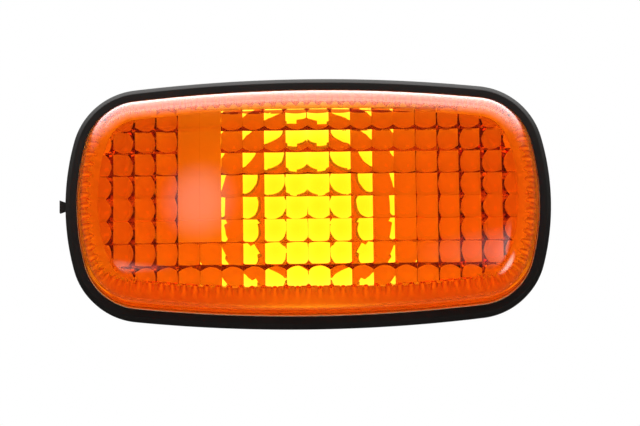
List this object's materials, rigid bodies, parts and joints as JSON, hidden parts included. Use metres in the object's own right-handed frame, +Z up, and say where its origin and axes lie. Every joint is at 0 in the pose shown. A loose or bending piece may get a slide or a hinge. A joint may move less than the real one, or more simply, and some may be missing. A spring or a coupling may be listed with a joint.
{
  "type": "fender turn signal lamp, without bulb and bulb holder",
  "caption": "Oblong amber fender turn signal lamp with a pillow-optic lens, a black rubber gasket and a white plastic housing with a round bulb-holder hole.",
  "frame": {"origin": "middle of the gasket's rear face, which lies on the fender", "axes": "+X along the lamp's long axis, -Y out of the fender the way the lens looks, +Z up"},
  "size_m": [0.0871, 0.0331, 0.0446],
  "materials": {
    "amber_lens": "transparent amber acrylic, polished",
    "white_plastic": "moulded, fine satin",
    "black_rubber": "moulded, matt"
  },
  "bodies": {
    "root": {"lens": "amber_lens", "housing": "white_plastic", "gasket": "black_rubber"}
  },
  "joints": []
}
